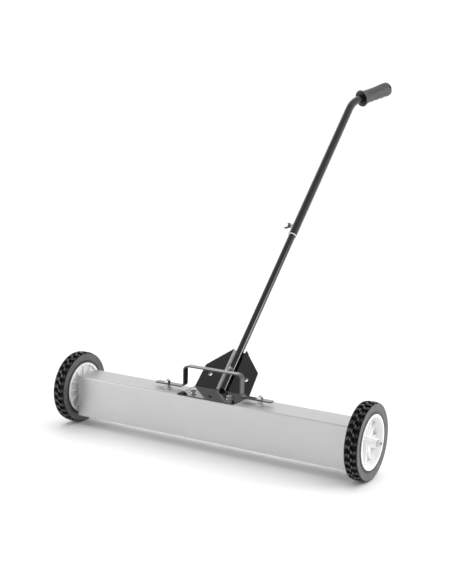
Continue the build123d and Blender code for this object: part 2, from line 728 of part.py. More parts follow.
def stop_rivet():
    rivet = Plane(origin=pole_point(RIVET_S), x_dir=UP, z_dir=(-1, 0, 0))
    inner = UPPER_RADIUS - UPPER_WALL
    shank = rivet * Pos(0, 0, inner) * rod(RIVET_RADIUS, UPPER_WALL + RIVET_HEAD / 2)
    shank -= along_pole(RIVET_S - LONG_CUT) * rod(inner, 2 * LONG_CUT)
    dome = rivet * Pos(0, 0, UPPER_RADIUS) * rod(RIVET_HEAD_RADIUS, RIVET_HEAD)
    dome = fillet(dome.edges().sort_by(Axis.X)[0], RIVET_DOME)
    dome -= along_pole(RIVET_S - LONG_CUT) * rod(UPPER_RADIUS, 2 * LONG_CUT)
    return shank + dome


def grip():
    """Moulded grip: flared collar at the bend, finger grooves inside it, heel at the closed end."""
    r = GRIP_RADIUS
    end = GRIP_END_RADIUS
    rim = GRIP_FLANGE_RADIUS
    rounded_end = [
        (end, GRIP_LENGTH * 0.85), (end - 1.5, GRIP_LENGTH - 5), (end - 6, GRIP_LENGTH - 1),
        (end - 11, GRIP_LENGTH), (0, GRIP_LENGTH),
    ]
    profile = Polyline(
        (GRIP_BORE, GRIP_FUNNEL), (GRIP_BORE + 1.5, GRIP_FUNNEL), (rim - 3.5, 0.8), (rim - 1.5, 0),
        (rim, 1.5), (rim - 1.5, 4.5), (r + 2, GRIP_FLANGE_DEPTH), (r, GRIP_FLANGE_DEPTH + 5),
        (r - 0.5, GRIP_LENGTH * 0.3), (r + 0.3, GRIP_LENGTH * 0.6), *rounded_end,
        (0, TUBE_IN_GRIP), (GRIP_BORE, TUBE_IN_GRIP), close=True,
    )
    body = revolve(make_face(profile.rotate(Axis.X, 90)), Axis.Z)
    heel = Polyline(
        (0, GRIP_LENGTH * 0.6), (r - 2, GRIP_LENGTH * 0.6), *rounded_end, close=True
    )
    heel = Pos(-GRIP_HEEL, 0, 0) * revolve(make_face(heel.rotate(Axis.X, 90)), Axis.Z)
    body += heel - rod(GRIP_BORE, TUBE_IN_GRIP)
    for index in range(FINGER_COUNT):
        z = FINGER_FIRST + FINGER_PITCH * index
        groove = Pos(r + FINGER_RADIUS - FINGER_DEPTH, 0, z) * Rot(90, 0, 0)
        body -= groove * Cylinder(FINGER_RADIUS, 4 * r)
    slot = Pos(0, 0, GRIP_LENGTH - HANG_SLOT_INSET) * Rot(90, 0, 0) * extrude(
        SlotOverall(HANG_SLOT_LENGTH, HANG_SLOT_WIDTH), 2 * r, both=True
    )
    place = Plane(origin=grip_start(), x_dir=grip_inner(), z_dir=grip_axis())
    return place * (body - slot)


PARTS = {
    "housing_shell": housing_shell,
    "sweep_plate": sweep_plate,
    "end_cap_left": lambda: end_cap(-1),
    "end_cap_right": lambda: end_cap(1),
    "axle_plate_left": lambda: axle_plate(-1),
    "axle_plate_right": lambda: axle_plate(1),
    "axle_left": lambda: axle(-1),
    "axle_right": lambda: axle(1),
    "axle_jam_nuts": axle_jam_nuts,
    "axle_inner_washers": axle_inner_washers,
    "axle_outer_washers": axle_outer_washers,
    "axle_lock_nuts": axle_lock_nuts,
    "wheel_hub_left": lambda: wheel_hub(-1),
    "wheel_hub_right": lambda: wheel_hub(1),
    "tyre_left": lambda: tyre(-1),
    "tyre_right": lambda: tyre(1),
    "magnet_carriage": magnet_carriage,
    "magnet_blocks": magnet_blocks,
    "lift_studs": lift_studs,
    "lift_springs": lift_springs,
    "bail_lower_nuts": bail_lower_nuts,
    "bail_upper_nuts": bail_upper_nuts,
    "guide_bushes": guide_bushes,
    "release_bail": release_bail,
    "handle_bracket": handle_bracket,
    "tie_sleeves": tie_sleeves,
    "pole_channel": pole_channel,
    "pole_spacers": pole_spacers,
    "bracket_bolts": bracket_bolts,
    "bracket_washers": bracket_washers,
    "bracket_nuts": bracket_nuts,
    "pole_bolt": pole_bolt,
    "pole_washer": pole_washer,
    "pole_nut": pole_nut,
    "lower_tube": lower_tube,
    "lower_tube_plug": lower_tube_plug,
    "slide_bush": slide_bush,
    "upper_tube": upper_tube,
    "screw_boss": screw_boss,
    "wing_screw": wing_screw,
    "stop_rivet": stop_rivet,
    "grip": grip,
}

for node, make in PARTS.items():
    shape = make()
    if isinstance(shape, list):
        shape = Compound(children=shape)
    write(shape, node)
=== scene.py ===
"""Looks of the walk-behind magnetic sweeper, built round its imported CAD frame."""
import json
import math

import bmesh
import bpy
from mathutils import Matrix, Vector

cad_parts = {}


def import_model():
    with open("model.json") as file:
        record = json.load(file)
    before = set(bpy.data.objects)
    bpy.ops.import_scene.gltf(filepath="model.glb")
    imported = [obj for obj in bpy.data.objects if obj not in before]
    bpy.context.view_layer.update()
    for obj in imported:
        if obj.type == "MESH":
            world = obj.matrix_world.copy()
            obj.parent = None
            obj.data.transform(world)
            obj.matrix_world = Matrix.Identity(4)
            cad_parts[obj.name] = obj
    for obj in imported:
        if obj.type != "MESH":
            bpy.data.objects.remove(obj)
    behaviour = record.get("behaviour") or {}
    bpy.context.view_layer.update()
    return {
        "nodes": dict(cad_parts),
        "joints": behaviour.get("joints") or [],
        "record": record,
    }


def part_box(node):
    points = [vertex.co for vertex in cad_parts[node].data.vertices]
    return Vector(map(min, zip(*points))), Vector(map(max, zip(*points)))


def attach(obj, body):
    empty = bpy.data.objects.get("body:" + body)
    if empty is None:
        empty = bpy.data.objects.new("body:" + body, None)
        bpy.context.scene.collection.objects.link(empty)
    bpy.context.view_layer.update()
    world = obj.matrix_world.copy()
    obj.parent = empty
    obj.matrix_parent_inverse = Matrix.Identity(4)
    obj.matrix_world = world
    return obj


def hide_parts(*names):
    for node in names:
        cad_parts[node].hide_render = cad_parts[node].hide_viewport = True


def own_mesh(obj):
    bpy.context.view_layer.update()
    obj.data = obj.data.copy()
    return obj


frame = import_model()

MM = 0.001

# Camera: angles in degrees, distances in metres from the point that it circles
CAMERA_AZIMUTH = 30.298
CAMERA_ELEVATION = 10.811
CAMERA_ROLL = 1.167
CAMERA_DISTANCE = 2.7718
CAMERA_RIGHT = 0.0343
CAMERA_UP = 0.3826
CAMERA_LENS = 69.5
SENSOR_WIDTH = 36.0
CAMERA_REACH = 100.0

FLOOR_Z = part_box("tyre_right")[0].z
JOINTS = {joint["name"]: joint for joint in frame["joints"]}


# ---------------------------------------------------------------- materials

def new_material(name, base, metallic=0.0, roughness=0.5, specular=0.5, coat=0.0, coat_roughness=0.1):
    """A Principled material with its constant values on the shader's own sockets."""
    made = bpy.data.materials.new(name)
    made.use_nodes = True
    shader = made.node_tree.nodes["Principled BSDF"]
    shader.inputs["Base Color"].default_value = (*base, 1.0)
    shader.inputs["Metallic"].default_value = metallic
    shader.inputs["Roughness"].default_value = roughness
    shader.inputs["Specular IOR Level"].default_value = specular
    shader.inputs["Coat Weight"].default_value = coat
    shader.inputs["Coat Roughness"].default_value = coat_roughness
    return made


def node(made, kind, **values):
    made_node = made.node_tree.nodes.new(kind)
    for key, value in values.items():
        if hasattr(made_node, key):
            setattr(made_node, key, value)
        else:
            made_node.inputs[key.replace("_", " ")].default_value = value
    return made_node


def link(made, source, target):
    made.node_tree.links.new(source, target)


def noise(made, scale, detail=4.0, stretch=(1.0, 1.0, 1.0), roughness=0.55):
    """Noise in the object's own coordinates; stretch squeezes it along an axis."""
    place = node(made, "ShaderNodeTexCoord")
    mapping = node(made, "ShaderNodeMapping")
    mapping.inputs["Scale"].default_value = stretch
    texture = node(made, "ShaderNodeTexNoise")
    texture.inputs["Scale"].default_value = scale
    texture.inputs["Detail"].default_value = detail
    texture.inputs["Roughness"].default_value = roughness
    link(made, place.outputs["Object"], mapping.inputs["Vector"])
    link(made, mapping.outputs["Vector"], texture.inputs["Vector"])
    return texture.outputs["Fac"]


def spread(made, value, low, high, start=0.3, stop=0.7):
    """Maps noise from start..stop onto low..high."""
    ramp = node(made, "ShaderNodeMapRange")
    ramp.inputs["From Min"].default_value = start
    ramp.inputs["From Max"].default_value = stop
    ramp.inputs["To Min"].default_value = low
    ramp.inputs["To Max"].default_value = high
    link(made, value, ramp.inputs["Value"])
    return ramp.outputs["Result"]


def tint(made, value, dark, light, start=0.3, stop=0.7):
    """Colours the surface between dark and light by a noise value."""
    ramp = node(made, "ShaderNodeValToRGB")
    ramp.color_ramp.elements[0].position = start
    ramp.color_ramp.elements[0].color = (*dark, 1.0)
    ramp.color_ramp.elements[1].position = stop
    ramp.color_ramp.elements[1].color = (*light, 1.0)
    link(made, value, ramp.inputs["Fac"])
    link(made, ramp.outputs["Color"], shader_of(made).inputs["Base Color"])


def shader_of(made):
    return made.node_tree.nodes["Principled BSDF"]


def rough(made, value, low, high):
    link(made, spread(made, value, low, high), shader_of(made).inputs["Roughness"])


def bump(made, height, strength, distance):
    """Adds a bump from height, on top of any bump that the material already has."""
    bumped = node(made, "ShaderNodeBump")
    bumped.inputs["Strength"].default_value = strength
    bumped.inputs["Distance"].default_value = distance
    link(made, height, bumped.inputs["Height"])
    normal = shader_of(made).inputs["Normal"]
    if normal.is_linked:
        link(made, normal.links[0].from_socket, bumped.inputs["Normal"])
    link(made, bumped.outputs["Normal"], normal)


def grey(value, warm=0.0):
    return (value * (1 + warm), value, value * (1 - warm))


def satin_sheet():
    made = new_material("satin_sheet", grey(0.55), metallic=0.7, roughness=0.42)
    grain = noise(made, 260.0, 3.0, stretch=(0.05, 1.0, 1.0))
    cloud = noise(made, 5.0, 4.0)
    tint(made, cloud, grey(0.54), grey(0.575))
    rough(made, grain, 0.36, 0.50)
    bump(made, grain, 0.06, 0.0002)
    bump(made, noise(made, 3.0, 1.0), 0.05, 0.004)
    return made


def thin_sheet():
    made = new_material("thin_sheet", grey(0.58), metallic=1.0, roughness=0.3)
    grain = noise(made, 340.0, 3.0, stretch=(0.04, 1.0, 1.0))
    tint(made, noise(made, 11.0, 5.0), grey(0.50), grey(0.62))
    rough(made, grain, 0.24, 0.38)
    bump(made, grain, 0.08, 0.0002)
    return made


def black_paint():
    made = new_material(
        "black_paint", grey(0.009), roughness=0.14, specular=0.2, coat=1.0, coat_roughness=0.06
    )
    tint(made, noise(made, 24.0, 5.0), grey(0.007), grey(0.013))
    rough(made, noise(made, 60.0, 6.0), 0.05, 0.13)
    bump(made, noise(made, 420.0, 2.0), 0.05, 0.0003)
    return made


def zinc():
    made = new_material("zinc", grey(0.62), metallic=1.0, roughness=0.3)
    tint(made, noise(made, 90.0, 4.0), (0.56, 0.57, 0.59), (0.74, 0.74, 0.73))
    rough(made, noise(made, 300.0, 4.0), 0.12, 0.28)
    bump(made, noise(made, 900.0, 2.0), 0.08, 0.0002)
    return made


def hub_plastic():
    made = new_material("hub_plastic", grey(0.88), roughness=0.45, specular=0.3)
    tint(made, noise(made, 14.0, 4.0), grey(0.86), grey(0.90))
    rough(made, noise(made, 70.0, 4.0), 0.38, 0.52)
    bump(made, noise(made, 700.0, 2.0), 0.05, 0.0003)
    return made


def tyre_rubber():
    """Side walls, greyed by dust."""
    made = new_material("tyre_rubber", grey(0.09), roughness=0.55, specular=0.5)
    tint(made, noise(made, 40.0, 6.0), grey(0.07), grey(0.115))
    rough(made, noise(made, 120.0, 5.0), 0.42, 0.62)
    bump(made, noise(made, 480.0, 4.0), 0.14, 0.0004)
    return made


def middle_block_highlight_rubber():
    """The small middle blocks of the tread, lighter grey than the lugs as a painted highlight where
    their tops catch the light.
    """
    made = new_material("middle_block_highlight_rubber", grey(0.07), roughness=0.42, specular=0.6)
    tint(made, noise(made, 70.0, 6.0), grey(0.05), grey(0.10))
    rough(made, noise(made, 160.0, 5.0), 0.32, 0.5)
    bump(made, noise(made, 520.0, 4.0), 0.2, 0.0005)
    return made


def lug_rubber():
    """The outer lugs of the tread, black and slightly shiny."""
    made = new_material("lug_rubber", grey(0.012), roughness=0.4, specular=0.5)
    tint(made, noise(made, 70.0, 6.0), grey(0.007), grey(0.02))
    rough(made, noise(made, 160.0, 5.0), 0.3, 0.5)
    bump(made, noise(made, 520.0, 4.0), 0.2, 0.0005)
    return made


def groove_painted_shade_rubber():
    """The tread's floor and the sides of its blocks, dull and nearly black: painted shade in the
    tread's recesses.
    """
    made = new_material("groove_painted_shade_rubber", grey(0.004), roughness=0.85, specular=0.15)
    tint(made, noise(made, 70.0, 6.0), grey(0.003), grey(0.007))
    rough(made, noise(made, 160.0, 5.0), 0.75, 0.95)
    bump(made, noise(made, 520.0, 4.0), 0.2, 0.0005)
    return made


def mild_steel():
    made = new_material("mild_steel", grey(0.32), metallic=0.85, roughness=0.5)
    tint(made, noise(made, 22.0, 6.0), (0.24, 0.235, 0.23), (0.38, 0.38, 0.38))
    rough(made, noise(made, 90.0, 5.0), 0.4, 0.62)
    bump(made, noise(made, 420.0, 3.0), 0.12, 0.0003)
    return made


def magnet_block():
    made = new_material("magnet_block", grey(0.09), roughness=0.62)
    tint(made, noise(made, 60.0, 6.0), grey(0.07), grey(0.12))
    rough(made, noise(made, 200.0, 4.0), 0.5, 0.75)
    bump(made, noise(made, 650.0, 4.0), 0.2, 0.0004)
    return made


def spring_wire():
    made = new_material("spring_wire", grey(0.5), metallic=1.0, roughness=0.28)
    tint(made, noise(made, 150.0, 4.0), grey(0.42), grey(0.56))
    rough(made, noise(made, 500.0, 3.0), 0.2, 0.36)
    bump(made, noise(made, 900.0, 2.0), 0.05, 0.0002)
    return made


def nylon():
    made = new_material("nylon", grey(0.8, 0.01), roughness=0.42)
    tint(made, noise(made, 70.0, 4.0), grey(0.76, 0.015), grey(0.84, 0.01))
    rough(made, noise(made, 260.0, 3.0), 0.36, 0.5)
    bump(made, noise(made, 900.0, 2.0), 0.05, 0.0002)
    return made


def black_plastic():
    made = new_material("black_plastic", grey(0.02), roughness=0.5)
    tint(made, noise(made, 60.0, 4.0), grey(0.016), grey(0.028))
    rough(made, noise(made, 240.0, 4.0), 0.42, 0.6)
    bump(made, noise(made, 1100.0, 2.0), 0.1, 0.0003)
    return made


def grip_rubber():
    made = new_material("grip_rubber", grey(0.06), roughness=0.5, specular=0.5)
    tint(made, noise(made, 55.0, 5.0), grey(0.045), grey(0.075))
    rough(made, noise(made, 180.0, 5.0), 0.4, 0.58)
    bump(made, noise(made, 1300.0, 3.0), 0.14, 0.0004)
    return made


def dark_metal():
    made = new_material("dark_metal", grey(0.05), metallic=0.4, roughness=0.35)
    tint(made, noise(made, 120.0, 5.0), grey(0.035), grey(0.075))
    rough(made, noise(made, 380.0, 4.0), 0.26, 0.45)
    bump(made, noise(made, 800.0, 3.0), 0.1, 0.0003)
    return made


MATERIALS = {
    "housing": satin_sheet(),
    "sweep_sheet": thin_sheet(),
    "black_paint": black_paint(),
    "zinc": zinc(),
    "hub_plastic": hub_plastic(),
    "tyre_rubber": tyre_rubber(),
    "steel": mild_steel(),
    "magnet": magnet_block(),
    "spring_steel": spring_wire(),
    "nylon": nylon(),
    "black_plastic": black_plastic(),
    "grip_rubber": grip_rubber(),
    "dark_metal": dark_metal(),
}

# Middle blocks are painted lighter as a highlight; the groove rubber is painted near-black as shade
# in the tread's recesses
TREAD_MATERIAL = middle_block_highlight_rubber()
LUG_MATERIAL = lug_rubber()
GROOVE_MATERIAL = groove_painted_shade_rubber()

for part in frame["record"]["subparts"]:
    carried = frame["nodes"][part["node"]]
    carried.data.materials.clear()
    carried.data.materials.append(MATERIALS[part["material_slot"]])


# ---------------------------------------------------------------- mesh helpers

def plane_at(origin, axis, side_hint):
    """Matrix whose local z is axis and whose local x is as near side_hint as it can be."""
    z = Vector(axis).normalized()
    x = (Vector(side_hint) - z * z.dot(Vector(side_hint))).normalized()
    y = z.cross(x)
    turn = Matrix((x, y, z)).transposed().to_4x4()
    return Matrix.Translation(Vector(origin)) @ turn


def add_rings(mesh, rings, close_start=False, close_end=False, wrap=False):
    """Skins a list of rings, each a list of points of equal length."""
    rows = [[mesh.verts.new(point) for point in ring] for ring in rings]
    count = len(rows[0])
    pairs = list(zip(rows, rows[1:]))
    if wrap:
        pairs.append((rows[-1], rows[0]))
    for low, high in pairs:
        for index in range(count):
            after = (index + 1) % count
            mesh.faces.new((low[index], low[after], high[after], high[index]))
    if close_start:
        mesh.faces.new(list(reversed(rows[0])))
    if close_end:
        mesh.faces.new(rows[-1])


def circle(radius, z, segments):
    steps = [2 * math.pi * index / segments for index in range(segments)]
    return [Vector((radius * math.cos(a), radius * math.sin(a), z)) for a in steps]


def to_object(mesh, name, matrix, body, slot, stands_for=(), sharp=35.0):
    """Turns a bmesh into a shaded piece that rides on a body."""
    bmesh.ops.recalc_face_normals(mesh, faces=mesh.faces)
    mesh.transform(matrix)
    data = bpy.data.meshes.new(name)
    mesh.to_mesh(data)
    mesh.free()
    data.shade_smooth()
    data.set_sharp_from_angle(angle=math.radians(sharp))
    piece = bpy.data.objects.new(name, data)
    bpy.context.scene.collection.objects.link(piece)
    data.materials.append(MATERIALS[slot])
    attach(piece, body)
    if stands_for:
        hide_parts(*stands_for)
    return piece


def centre_of(node_name):
    low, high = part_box(node_name)
    return (low + high) / 2


# ---------------------------------------------------------------- tyres

TREAD_PITCHES = 30
TREAD_DEPTH = 4.2 * MM
TREAD_CHAMFER = 0.8 * MM
WALL_SEGMENTS = 128
# Half section from the bead over the side wall to the tread's floor: radius below the tread,
# distance from the middle plane as a share of the tyre's half width
WALL_PROFILE = (
    (29.4, 0.80), (27.2, 0.80), (26.6, 0.90), (25.6, 0.965), (24.6, 0.97), (21.6, 0.885),
    (20.4, 0.885), (19.6, 0.925), (13.0, 0.962), (8.8, 0.975), (8.0, 1.0), (6.6, 1.0),
    (3.4, 0.97), (2.4, 0.93), (2.3, 0.90), (4.6, 0.86),
)
BEAD_REACH = 20.6 * MM
TREAD_INDEX = 1
LUG_INDEX = 2
GROOVE_INDEX = 3
# Raised blocks of half a pitch: millimetres round the tyre and out from its middle plane
MIDDLE_BLOCK = ((-7.0, 1.0), (5.4, 1.4), (0.2, 6.6))
OUTER_BLOCK = (
    (-1.4, 7.6), (4.4, 4.4), (6.4, 8.4), (3.6, 11.0), (5.4, 15.0), (-2.6, 15.0), (-4.6, 11.2),
    (-3.6, 8.6),
)
BLOCKS = ((MIDDLE_BLOCK, TREAD_INDEX), (OUTER_BLOCK, LUG_INDEX))
# Size of a block's foot and of its top, as shares of its outline
BLOCK_DRAFT = 1.2
BLOCK_TOP = 0.84
# Share of a pitch by which each row of blocks is turned
ROW_SHIFTS = ((1, 0.0), (-1, 0.5))
BLOCK_CROWN = 2.0 * MM
SHOULDER_Z = 15.0
# A wall face whose normal leans less than this towards the side is the tread's floor
GROOVE_SLOPE = 0.9


def tread_block(mesh, radius, row, turn, outline):
    """One raised block, with chamfered edges and a little draft."""
    middle_u = sum(u for u, z in outline) / len(outline)
    middle_z = sum(z for u, z in outline) / len(outline)
    rings = []
    for scale, drop in ((BLOCK_DRAFT, TREAD_DEPTH), (1.0, TREAD_CHAMFER), (BLOCK_TOP, 0.0)):
        ring = []
        for u, z in outline:
            wide_u = (middle_u + (u - middle_u) * scale) * MM
            wide_z = (middle_z + (z - middle_z) * scale) * MM
            crown = BLOCK_CROWN * (wide_z / (SHOULDER_Z * MM)) ** 2
            reach = radius - drop - (crown if drop < TREAD_DEPTH else 0.0)
            angle = turn + row * wide_u / radius
            ring.append(Vector((reach * math.cos(angle), reach * math.sin(angle), row * wide_z)))
        rings.append(ring)
    add_rings(mesh, rings, close_end=True)


def wall_look(face, radius):
    """Material index of a face of the carcass: its wall; its bead, given the black lug rubber as a
    painted shade ring beside the rim; or the tread's floor, given the groove rubber as painted shade.
    """
    reach = math.hypot(*face.calc_center_median().xy)
    # The bead ring takes the black lug rubber: painted shade beside the rim
    if reach < radius - BEAD_REACH:
        return LUG_INDEX
    # Faces under the tread take the near-black groove rubber: painted shade
    under_tread = abs(face.normal.z) < GROOVE_SLOPE and reach > radius - TREAD_DEPTH * 1.2
    return GROOVE_INDEX if under_tread else 0


def tyre(side_name, side):
    """Rubber tyre with two staggered rows, each of small middle blocks and outer lugs."""
    node_name = f"tyre_{side_name}"
    low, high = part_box(node_name)
    radius = (high.z - low.z) / 2
    half = (high.x - low.x) / 2
    mesh = bmesh.new()
    outline = [(radius - drop * MM, half * share) for drop, share in WALL_PROFILE]
    outline += [(r, -z) for r, z in reversed(outline)]
    add_rings(mesh, [circle(r, z, WALL_SEGMENTS) for r, z in outline], wrap=True)
    mesh.normal_update()
    looks = [wall_look(face, radius) for face in mesh.faces]
    pitch = 2 * math.pi / TREAD_PITCHES
    for index in range(TREAD_PITCHES):
        for row, shift in ROW_SHIFTS:
            for block, look in BLOCKS:
                tread_block(mesh, radius, row, (index + shift) * pitch, block)
                # Block sides take the near-black groove rubber as painted shade; tops take the
                # block's own rubber
                looks += [GROOVE_INDEX] * len(block) + [look] * (len(block) + 1)
    for face, look in zip(mesh.faces, looks):
        face.material_index = look
    place = plane_at(centre_of(node_name), (side, 0, 0), (0, 1, 0))
    piece = to_object(
        mesh, f"treaded_tyre_{side_name}", place, f"wheel_{side_name}", "tyre_rubber",
        stands_for=(node_name,), sharp=30.0,
    )
    for made in (TREAD_MATERIAL, LUG_MATERIAL, GROOVE_MATERIAL):
        piece.data.materials.append(made)


tyre("left", -1)
tyre("right", 1)


# ---------------------------------------------------------------- fasteners

THREAD_SEGMENTS = 24
THREAD_STEPS = 6
M8_RADIUS = 4.0 * MM
M8_FLATS = 13.0 * MM
M8_PITCH = 1.25 * MM
HEAD_HEIGHT = 5.5 * MM
WASHER_RADIUS = 8.5 * MM
AXLE_PLAIN = 62.0 * MM
SPRING_RADIUS = 9.0 * MM
SPRING_WIRE = 0.9 * MM
SPRING_TURNS = 9
SPRING_STEPS = 32
SPRING_WIRE_SEGMENTS = 10


def thread_rings(radius, start, stop, pitch):
    """Rings whose radius follows a helical thread that fades out at the free end."""
    depth = pitch * 0.5
    count = max(2, round((stop - start) / pitch * THREAD_STEPS))
    rings = []
    for step in range(count + 1):
        z = start + (stop - start) * step / count
        ring = []
        for index in range(THREAD_SEGMENTS):
            turn = index / THREAD_SEGMENTS
            phase = (z / pitch - turn) % 1.0
            cut = depth * (1 - abs(2 * phase - 1))
            free = min(1.0, (stop - z) / pitch)
            reach = min(radius - cut, radius - (1 - free) * depth)
            angle = 2 * math.pi * turn
            ring.append(Vector((reach * math.cos(angle), reach * math.sin(angle), z)))
        rings.append(ring)
    return rings


def hex_head(mesh, flats, height):
    """Hexagon head with its chamfered face on the outside, at z = 0."""
    corner = flats / math.sqrt(3)
    chamfer = corner - flats / 2
    rings = []
    segments = 72
    for reach, z in ((flats / 2 * 0.97, 0.0), (corner, chamfer * 0.58), (corner, height)):
        ring = []
        for index in range(segments):
            angle = 2 * math.pi * index / segments
            fold = (angle + math.pi / 6) % (math.pi / 3) - math.pi / 6
            side = flats / 2 / math.cos(fold)
            limit = min(side, reach)
            ring.append(Vector((limit * math.cos(angle), limit * math.sin(angle), z)))
        rings.append(ring)
    add_rings(mesh, rings, close_start=True, close_end=True)


def bolt_mesh(head, length, plain):
    """M8 bolt along z: its head starts at 0 and the shank is threaded beyond its plain part."""
    mesh = bmesh.new()
    hex_head(mesh, M8_FLATS, head)
    rings = []
    if plain > head:
        rings += [circle(M8_RADIUS, z, THREAD_SEGMENTS) for z in (head, plain)]
    rings += thread_rings(M8_RADIUS, plain, length, M8_PITCH)
    add_rings(mesh, rings, close_start=True, close_end=True)
    return mesh


def bolt(name, origin, axis, hint, head, length, plain, body, nodes):
    to_object(
        bolt_mesh(head, length, plain), name, plane_at(origin, axis, hint), body, "zinc",
        stands_for=nodes, sharp=50.0,
    )


def merged(parts):
    """One bmesh from several, each with the matrix that places it."""
    whole = bmesh.new()
    for part, matrix in parts:
        part.transform(matrix)
        data = bpy.data.meshes.new("part")
        part.to_mesh(data)
        part.free()
        whole.from_mesh(data)
        bpy.data.meshes.remove(data)
    return whole


def lift_studs():
    low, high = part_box("lift_studs")
    reach = high.x - M8_RADIUS
    length = high.z - low.z
    studs = []
    for side in (-1, 1):
        stud = bmesh.new()
        add_rings(
            stud, thread_rings(M8_RADIUS, 0.0, length, M8_PITCH), close_start=True, close_end=True
        )
        studs.append((stud, Matrix.Translation((side * reach, 0, low.z))))
    to_object(
        merged(studs), "threaded_studs", Matrix(), "magnet_lift", "zinc",
        stands_for=("lift_studs",), sharp=60.0,
    )


def coil_springs():
    """Return springs round the studs."""
    low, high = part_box("lift_springs")
    reach = high.x - SPRING_RADIUS - SPRING_WIRE
    bottom = low.z + SPRING_WIRE
    height = high.z - low.z
    rise = height - 2 * SPRING_WIRE
    steps = SPRING_TURNS * SPRING_STEPS
    mesh = bmesh.new()
    for side in (-1, 1):
        rings = []
        for step in range(steps + 1):
            angle = 2 * math.pi * step / SPRING_STEPS
            outward = Vector((math.cos(angle), math.sin(angle), 0))
            centre = Vector((side * reach, 0, bottom + rise * step / steps))
            centre += outward * SPRING_RADIUS
            ring = []
            for index in range(SPRING_WIRE_SEGMENTS):
                turn = 2 * math.pi * index / SPRING_WIRE_SEGMENTS
                offset = outward * math.cos(turn) + Vector((0, 0, math.sin(turn)))
                ring.append(centre + offset * SPRING_WIRE)
            rings.append(ring)
        add_rings(mesh, rings, close_start=True, close_end=True)
    piece = to_object(
        mesh, "coil_springs", Matrix(), "housing", "spring_steel",
        stands_for=("lift_springs",), sharp=60.0,
    )
    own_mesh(piece)


def axle_bolt(side_name, side):
    low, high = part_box(f"axle_{side_name}")
    start = low.x if side > 0 else high.x
    bolt(
        f"axle_bolt_{side_name}", (start, 0, centre_of(f"axle_{side_name}").z), (side, 0, 0),
        (0, 1, 0), HEAD_HEIGHT, high.x - low.x, AXLE_PLAIN, "housing", (f"axle_{side_name}",),
    )


def bracket_bolts():
    low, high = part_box("bracket_bolts")
    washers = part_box("bracket_washers")
    reach = washers[1].x - WASHER_RADIUS
    y = centre_of("bracket_washers").y
    bolts = []
    for side in (-1, 1):
        made = bolt_mesh(HEAD_HEIGHT, high.z - low.z, HEAD_HEIGHT)
        bolts.append((made, Matrix.Translation((side * reach, y, low.z))))
    to_object(
        merged(bolts), "threaded_bracket_bolts", Matrix(), "housing", "zinc",
        stands_for=("bracket_bolts",), sharp=50.0,
    )


# ---------------------------------------------------------------- pole and grip

POLE_UP = -Vector(JOINTS["pole_turn"]["axis"])
POLE_FRONT = Vector((0, -POLE_UP.z, POLE_UP.y))
POLE_LINE = Vector(JOINTS["pole_turn"]["pos_m"])
POLE_LINE_S = 0.500
POLE_BOLT_START_H = -17.525 * MM
POLE_BOLT_END_H = 21.0 * MM
POLE_WASHER_MIDDLE_H = 10.325 * MM
POLE_BOLT_PLAIN = 28.0 * MM

BEND_START_S = 0.972
BEND_RADIUS = 0.085
BEND_ANGLE = math.radians(35.0)
GRIP_TURN = math.radians(40.0)
GRIP_GAP = 8.0 * MM
GRIP_LENGTH = 112.1 * MM
GRIP_RADIUS = 19.2 * MM
GRIP_HEEL = 1.4 * MM
FINGER_COUNT = 4
FINGER_PITCH = 20.0 * MM
FINGER_FIRST = 27.0 * MM
FINGER_RADIUS = 13.0 * MM
FINGER_DEPTH = 3.5 * MM
SLOT_LENGTH = 11.0 * MM
SLOT_WIDTH = 5.0 * MM
SLOT_INSET = 8.5 * MM
GRIP_SEGMENTS = 72
GRIP_STEP = 0.8 * MM
END_ROUNDING = 9.0 * MM
END_STEPS = 8
SLOT_STEPS = 8
# Collar from the tube out over the funnel and round its rim: radius and distance along, mm
COLLAR_PROFILE = (
    (11.15, 9.6), (12.4, 9.4), (14.0, 7.6), (16.6, 5.0), (19.3, 2.4), (21.6, 0.6), (22.8, 0.0),
    (23.8, 0.35), (24.3, 1.3), (24.1, 2.6), (23.2, 4.2), (21.9, 6.2), (20.8, 8.4), (20.2, 11.0),
)


# Section of the light strip that stands in for the lit face of the channel's left wall, a painted
# highlight: millimetres across from the pole's middle and forward of its axis
STRIP_SECTION = (
    (-17.4, 2.5), (-17.1, 2.9), (-16.7, 2.7), (-12.5, -2.0), (-12.3, -2.6), (-12.6, -4.6),
    (-17.4, -4.6),
)
STRIP_MIDDLE = (-15.6, -1.6)
# Millimetres up the pole, and how far the section shrinks there
STRIP_STATIONS = ((5.0, 0.4), (5.6, 0.0), (122.6, 0.0), (123.2, 0.4))


def pole_bolt():
    start = centre_of("pole_washer") + POLE_FRONT * (POLE_BOLT_START_H - POLE_WASHER_MIDDLE_H)
    bolt(
        "threaded_pole_bolt", start, POLE_FRONT, (1, 0, 0), HEAD_HEIGHT,
        POLE_BOLT_END_H - POLE_BOLT_START_H, POLE_BOLT_PLAIN, "housing", ("pole_bolt",),
    )


def painted_highlight_strip():
    """Light nylon strip on the channel's left wall, beside the pole: a painted highlight standing in
    for the wall's lit face.
    """
    foot = POLE_LINE - POLE_UP * POLE_LINE_S
    middle = Vector(STRIP_MIDDLE)
    mesh = bmesh.new()
    rings = []
    for s, shrink in STRIP_STATIONS:
        ring = []
        for x, h in STRIP_SECTION:
            point = Vector((x, h))
            point = (point + (middle - point).normalized() * shrink) * MM
            ring.append(foot + POLE_UP * s * MM + Vector((point.x, 0, 0)) + POLE_FRONT * point.y)
        rings.append(ring)
    add_rings(mesh, rings, close_start=True, close_end=True)
    to_object(mesh, "painted_highlight_strip", Matrix(), "housing", "nylon", sharp=20.0)


def ease(value):
    held = min(1.0, max(0.0, value))
    return held * held * (3 - 2 * held)


